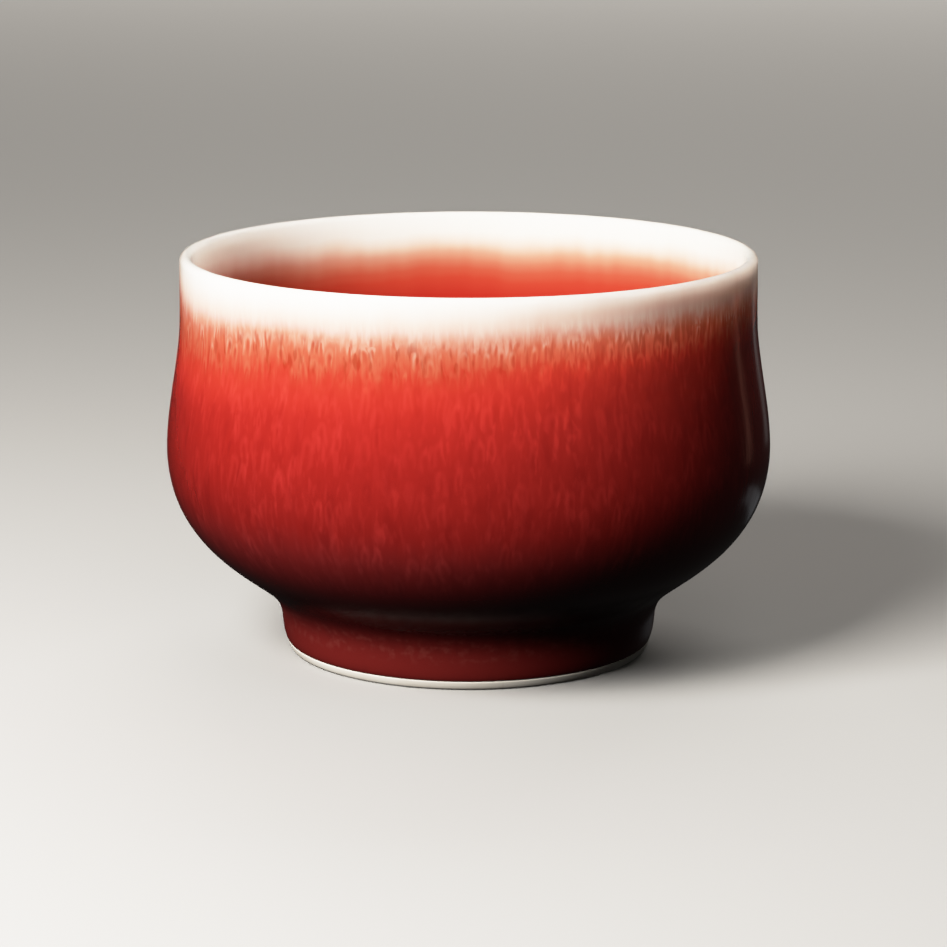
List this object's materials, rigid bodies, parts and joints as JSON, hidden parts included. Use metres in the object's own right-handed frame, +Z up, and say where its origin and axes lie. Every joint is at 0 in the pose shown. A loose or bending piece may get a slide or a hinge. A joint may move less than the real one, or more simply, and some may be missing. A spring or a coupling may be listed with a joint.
{
  "type": "tea cup",
  "caption": "Small porcelain tea cup without a handle, on a low foot ring, in streaked copper red glaze with a white lip.",
  "frame": {"origin": "on the cup's axis, in the plane that the foot ring stands on", "axes": "+Z up along the axis of the turned cup, out of its mouth; +X and +Y are any two directions across it"},
  "size_m": [0.084, 0.084, 0.0557],
  "materials": {
    "porcelain": "unglazed, fine, pale where it is bare at the foot",
    "outer_red": "glossy streaked copper red glaze, darker towards the foot",
    "white_lip": "glossy creamy white glaze where it has drained off the lip",
    "inner_red": "glossy even coral red glaze that fades to white at the lip",
    "base_clear": "glossy clear glaze over white porcelain"
  },
  "bodies": {
    "root": {"porcelain_body": "porcelain", "outer_red_glaze": "outer_red", "white_lip_glaze": "white_lip", "inner_red_glaze": "inner_red", "base_clear_glaze": "base_clear"}
  },
  "joints": []
}
